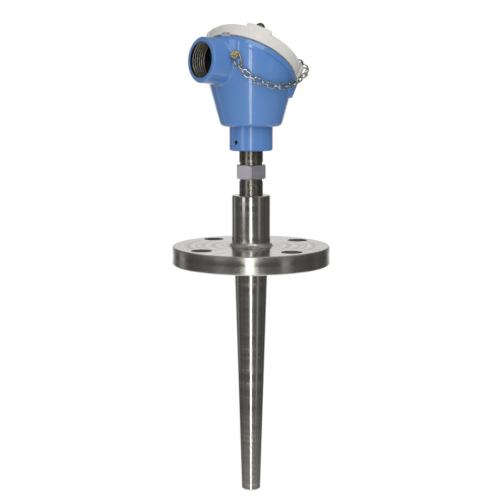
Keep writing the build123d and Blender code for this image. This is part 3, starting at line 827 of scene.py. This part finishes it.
def studio_world(level):
    """White for the camera, soft room light, and a room with white behind the probe for reflections."""
    world = bpy.data.worlds.new("studio")
    world.use_nodes = True
    tree = world.node_tree
    tree.nodes.clear()
    path = add(tree, "ShaderNodeLightPath").outputs
    toward = add(tree, "ShaderNodeTexCoord").outputs["Generated"]
    behind = vector_math(tree, "DOT_PRODUCT", toward, tuple(-CAMERA_BACK))["Value"]
    height = parts_of(tree, toward)[2]
    seen = highest(tree, map_range(tree, behind, *WHITE_BEHIND),
                   *(map_range(tree, height, *band) for band in (ROOM, GROUND, CEILING)))
    value = highest(tree, mix_number(tree, mirrored(tree, path), level, seen), path["Is Camera Ray"])
    background = add(tree, "ShaderNodeBackground", {"Color": (1, 1, 1, 1), "Strength": value})
    add(tree, "ShaderNodeOutputWorld", {"Surface": background.outputs[0]})
    bpy.context.scene.world = world


def floor_material():
    """Pale matte floor that also glows for the camera and in reflections, so that it meets the white."""
    material, tree, shader, at = new_material("floor", Roughness=0.9, Specular_IOR_Level=0.2)
    path = add(tree, "ShaderNodeLightPath").outputs
    shown = highest(tree, path["Is Camera Ray"], mirrored(tree, path))
    glow = add(tree, "ShaderNodeEmission", {"Color": (1, 1, 1, 1), "Strength": times(tree, shown, FLOOR_GLOW)})
    feed(tree, shader, Base_Color=mix_colour(tree, noise(tree, at, 3.0, Detail=2.0), *map(rgba, FLOOR)))
    both = add(tree, "ShaderNodeAddShader", {0: shader.outputs[0], 1: glow.outputs[0]})
    output = next(n for n in tree.nodes if n.type == "OUTPUT_MATERIAL")
    tree.links.new(both.outputs[0], output.inputs["Surface"])
    return material


class PROBE_OT_studio(bpy.types.Operator):
    """Pale floor, soft lights, white surroundings and the camera"""
    bl_idname = "probe.studio"
    bl_label = "Studio"

    def execute(self, context):
        studio = context.scene.probe_studio
        shape = bmesh.new()
        bmesh.ops.create_circle(shape, cap_ends=True, segments=96, radius=FLOOR_RADIUS)
        mesh = bpy.data.meshes.new("floor")
        shape.to_mesh(mesh)
        shape.free()
        mesh.transform(Matrix.Translation((0, 0, TIP_Z - studio.floor_drop)))
        mesh.materials.append(floor_material())
        floor = bpy.data.objects.new("floor", mesh)
        context.scene.collection.objects.link(floor)

        studio_world(studio.room_light)
        for name, (azimuth, elevation, distance, width, height, setting, share, target_z) in LAMPS.items():
            area_light(name, aim(azimuth, elevation), distance, width, height,
                       getattr(studio, setting) * share, Vector((0, 0, target_z)))

        lens = bpy.data.cameras.new("camera")
        lens.lens = studio.lens
        lens.sensor_width = 36
        lens.clip_start = 0.01
        camera = bpy.data.objects.new("camera", lens)
        camera.location = CAMERA_PLACE
        camera.rotation_euler = (-CAMERA_BACK).to_track_quat("-Z", "Y").to_euler()
        context.scene.collection.objects.link(camera)
        context.scene.camera = camera
        context.scene.view_settings.view_transform = "Standard"
        return {"FINISHED"}


class PROBE_PT_sidebar(bpy.types.Panel):
    """The probe's pieces and settings"""
    bl_idname = "PROBE_PT_sidebar"
    bl_label = "Probe"
    bl_space_type = "VIEW_3D"
    bl_region_type = "UI"
    bl_category = "Probe"

    def draw(self, context):
        for operator in OPERATORS:
            self.layout.operator(operator.bl_idname)
        for name, kind in SETTINGS.items():
            settings = getattr(context.scene, name)
            box = self.layout.box()
            for key in kind.__annotations__:
                box.prop(settings, key)


SETTINGS = {
    "probe_finish": ProbeFinish, "probe_thread": ProbeThread, "probe_weld": ProbeWeld,
    "probe_spring": ProbeSpring, "probe_studio": ProbeStudio}
OPERATORS = (
    PROBE_OT_casting, PROBE_OT_well, PROBE_OT_fasteners, PROBE_OT_insert, PROBE_OT_springs,
    PROBE_OT_entry_thread, PROBE_OT_weld_ripples, PROBE_OT_studio)


def register():
    for kind in (*SETTINGS.values(), *OPERATORS, PROBE_PT_sidebar):
        bpy.utils.register_class(kind)
    for name, kind in SETTINGS.items():
        setattr(bpy.types.Scene, name, bpy.props.PointerProperty(type=kind))


def unregister():
    for name in SETTINGS:
        delattr(bpy.types.Scene, name)
    for kind in reversed((*SETTINGS.values(), *OPERATORS, PROBE_PT_sidebar)):
        bpy.utils.unregister_class(kind)


def main():
    register()
    bpy.ops.probe.studio()
    bpy.ops.probe.casting()
    bpy.ops.probe.well()
    bpy.ops.probe.fasteners()
    bpy.ops.probe.insert()
    bpy.ops.probe.springs()
    bpy.ops.probe.entry_thread()
    bpy.ops.probe.weld_ripples()


if __name__ == "__main__":
    main()
